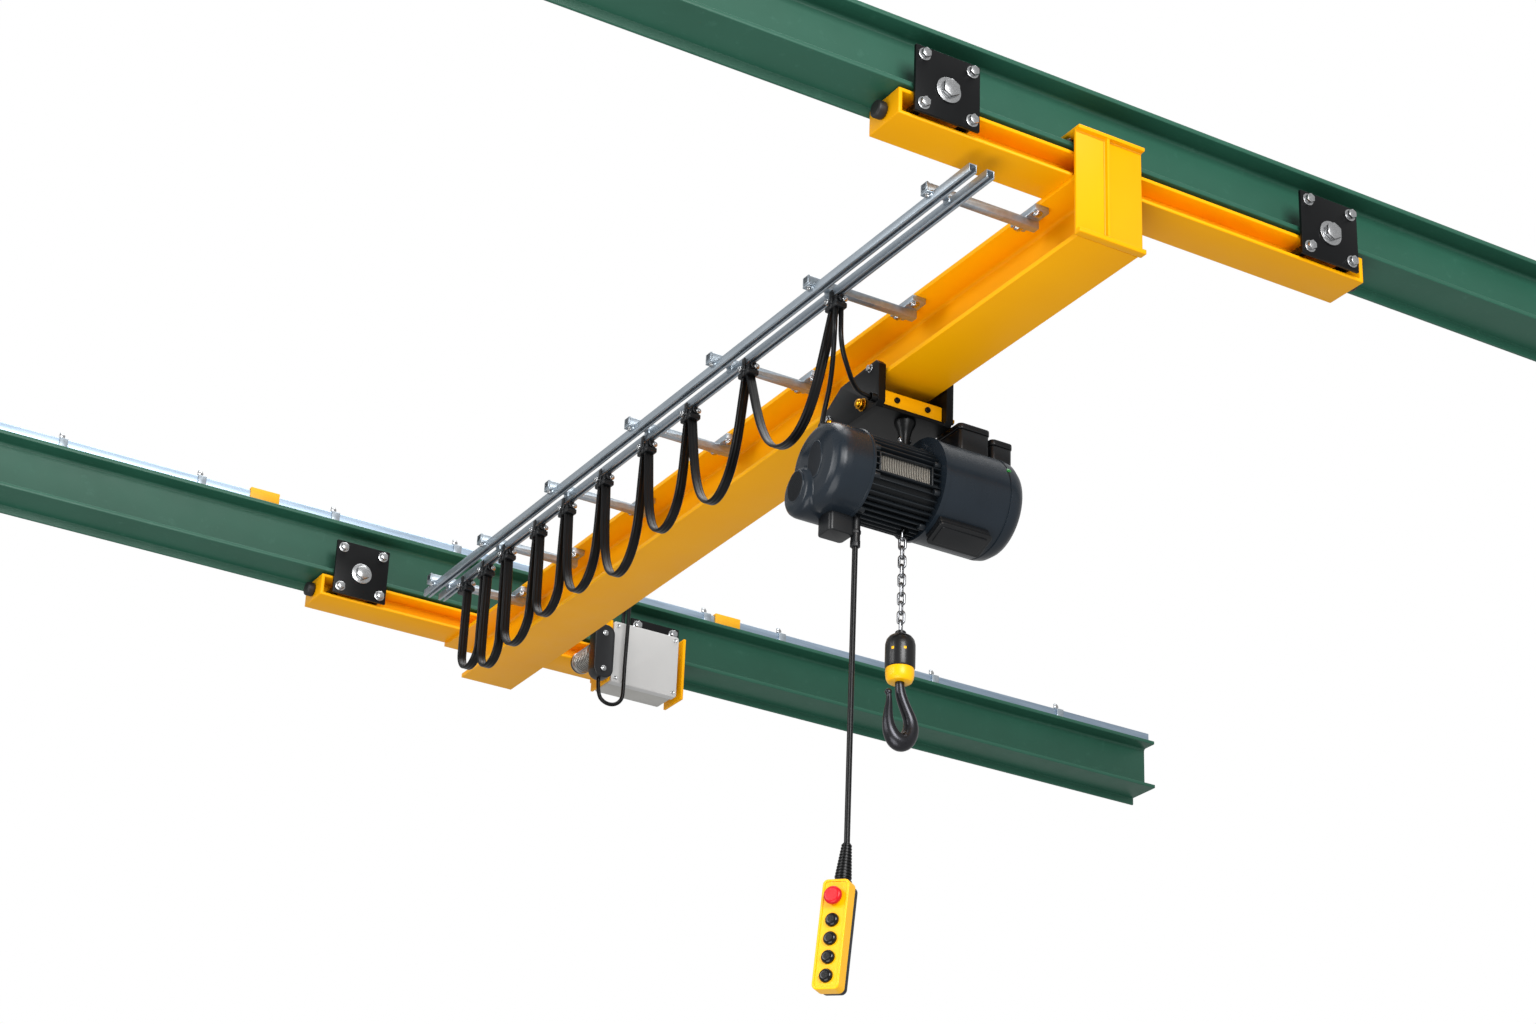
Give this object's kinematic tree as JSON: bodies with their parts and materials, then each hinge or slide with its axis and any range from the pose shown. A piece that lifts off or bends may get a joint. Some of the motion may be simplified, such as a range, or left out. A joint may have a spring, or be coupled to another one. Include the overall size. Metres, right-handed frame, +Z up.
{
  "type": "underslung bridge crane",
  "caption": "Underslung single-girder bridge crane on two runway beams, with a chain hoist, festoon cables and a hanging push-button pendant.",
  "frame": {"origin": "on the near runway's top face, above the middle of the bridge", "axes": "+Z up, +X along the runways, +Y from the near runway to the far one"},
  "size_m": [4.436, 3.325, 2.0293],
  "materials": {
    "runway_paint": "satin paint",
    "crane_paint": "satin paint",
    "plate_black": "satin paint",
    "wheel_steel": "turned",
    "galvanised": "galvanised",
    "conductor": "extruded",
    "cover_plastic": "moulded",
    "buffer_rubber": "moulded",
    "hoist_paint": "satin paint",
    "rope": "wound",
    "cable_jacket": "extruded",
    "hook_steel": "forged",
    "chain_steel": "plated",
    "block_paint": "gloss paint",
    "pendant_yellow": "moulded",
    "pendant_black": "moulded",
    "stop_red": "moulded",
    "button_black": "moulded",
    "box_grey": "moulded",
    "gearbox_grey": "satin paint",
    "motor_silver": "cast"
  },
  "bodies": {
    "runways": {"near_runway_beam": "runway_paint", "far_runway_beam": "runway_paint", "power_rail": "conductor", "power_rail_clips": "galvanised", "rail_joint_covers": "cover_plastic"},
    "bridge": {"near_end_carriage": "crane_paint", "far_end_carriage": "crane_paint", "buffers": "buffer_rubber", "wheel_plates": "plate_black", "track_wheels": "wheel_steel", "main_girder": "crane_paint", "girder_head": "crane_paint", "festoon_rails": "galvanised", "festoon_arms": "galvanised", "drive_gearbox": "gearbox_grey", "drive_motor": "motor_silver", "control_box": "box_grey", "control_box_bracket": "crane_paint", "drive_cable": "cable_jacket"},
    "trolley": {"tow_carrier": "plate_black", "trolley_frame": "plate_black", "trolley_wheels": "wheel_steel", "trolley_crossbar": "crane_paint", "hoist_eye": "wheel_steel", "fan_cover": "hoist_paint", "motor_fins": "hoist_paint", "rope_drum": "rope", "gear_housing": "hoist_paint", "terminal_boxes": "hoist_paint", "underside_boxes": "hoist_paint", "hoist_cable": "cable_jacket", "trolley_cable": "cable_jacket", "pendant_cable": "cable_jacket", "pendant_sleeve": "cable_jacket", "pendant_shell": "pendant_yellow", "pendant_back": "pendant_black", "stop_button": "stop_red", "push_buttons": "button_black"},
    "hook_block": {"load_chain": "chain_steel", "hook_block": "block_paint"},
    "hook": {"hook": "hook_steel"},
    "festoon_1": {"festoon_carrier_1": "plate_black", "festoon_loop_1": "cable_jacket"},
    "festoon_2": {"festoon_carrier_2": "plate_black", "festoon_loop_2": "cable_jacket"},
    "festoon_3": {"festoon_carrier_3": "plate_black", "festoon_loop_3": "cable_jacket"},
    "festoon_4": {"festoon_carrier_4": "plate_black", "festoon_loop_4": "cable_jacket"},
    "festoon_5": {"festoon_carrier_5": "plate_black", "festoon_loop_5": "cable_jacket"},
    "festoon_6": {"festoon_carrier_6": "plate_black", "festoon_loop_6": "cable_jacket"},
    "festoon_7": {"festoon_carrier_7": "plate_black", "festoon_loop_7": "cable_jacket"},
    "festoon_8": {"festoon_carrier_8": "plate_black", "festoon_loop_8": "cable_jacket"},
    "festoon_9": {"festoon_carrier_9": "plate_black", "festoon_loop_9": "cable_jacket"}
  },
  "joints": [
    {"name": "bridge_travel", "type": "slide", "parent": "runways", "child": "bridge", "axis": [1, 0, 0], "range_m": [-1.28, 1.7]},
    {"name": "trolley_travel", "type": "slide", "parent": "bridge", "child": "trolley", "axis": [0, 1, 0], "range_m": [-0.56, 1.29]},
    {"name": "hook_lift", "type": "slide", "parent": "trolley", "child": "hook_block", "axis": [0, 0, 1], "range_m": [0, 0.18]},
    {"name": "hook_swivel", "type": "hinge", "parent": "hook_block", "child": "hook", "pos_m": [-0.108, 0.745, -1.19], "axis": [0, 0, 1], "continuous": true},
    {"name": "festoon_1_slide", "type": "slide", "parent": "trolley", "child": "festoon_1", "axis": [0, 1, 0], "range_m": [-0.326, 0.1429], "deforming": ["festoon_loop_1"]},
    {"name": "festoon_2_slide", "type": "slide", "parent": "festoon_1", "child": "festoon_2", "axis": [0, 1, 0], "range_m": [-0.2105, 0.0923], "deforming": ["festoon_loop_2"]},
    {"name": "festoon_3_slide", "type": "slide", "parent": "festoon_2", "child": "festoon_3", "axis": [0, 1, 0], "range_m": [-0.1508, 0.0661], "deforming": ["festoon_loop_3"]},
    {"name": "festoon_4_slide", "type": "slide", "parent": "festoon_3", "child": "festoon_4", "axis": [0, 1, 0], "range_m": [-0.1566, 0.0687], "deforming": ["festoon_loop_4"]},
    {"name": "festoon_5_slide", "type": "slide", "parent": "festoon_4", "child": "festoon_5", "axis": [0, 1, 0], "range_m": [-0.1361, 0.0597], "deforming": ["festoon_loop_5"]},
    {"name": "festoon_6_slide", "type": "slide", "parent": "festoon_5", "child": "festoon_6", "axis": [0, 1, 0], "range_m": [-0.093, 0.0408], "deforming": ["festoon_loop_6"]},
    {"name": "festoon_7_slide", "type": "slide", "parent": "festoon_6", "child": "festoon_7", "axis": [0, 1, 0], "range_m": [-0.1165, 0.0511], "deforming": ["festoon_loop_7"]},
    {"name": "festoon_8_slide", "type": "slide", "parent": "festoon_7", "child": "festoon_8", "axis": [0, 1, 0], "range_m": [-0.0568, 0.0249], "deforming": ["festoon_loop_8"]},
    {"name": "festoon_9_slide", "type": "slide", "parent": "festoon_8", "child": "festoon_9", "axis": [0, 1, 0], "range_m": [-0.0538, 0.0236], "deforming": ["festoon_loop_9"]}
  ],
  "couplings": [
    {"joint": "festoon_1_slide", "follows": "trolley_travel", "ratio": -0.25075},
    {"joint": "festoon_2_slide", "follows": "trolley_travel", "ratio": -0.1619},
    {"joint": "festoon_3_slide", "follows": "trolley_travel", "ratio": -0.11596},
    {"joint": "festoon_4_slide", "follows": "trolley_travel", "ratio": -0.12048},
    {"joint": "festoon_5_slide", "follows": "trolley_travel", "ratio": -0.10467},
    {"joint": "festoon_6_slide", "follows": "trolley_travel", "ratio": -0.07154},
    {"joint": "festoon_7_slide", "follows": "trolley_travel", "ratio": -0.08961},
    {"joint": "festoon_8_slide", "follows": "trolley_travel", "ratio": -0.04367},
    {"joint": "festoon_9_slide", "follows": "trolley_travel", "ratio": -0.04142}
  ]
}
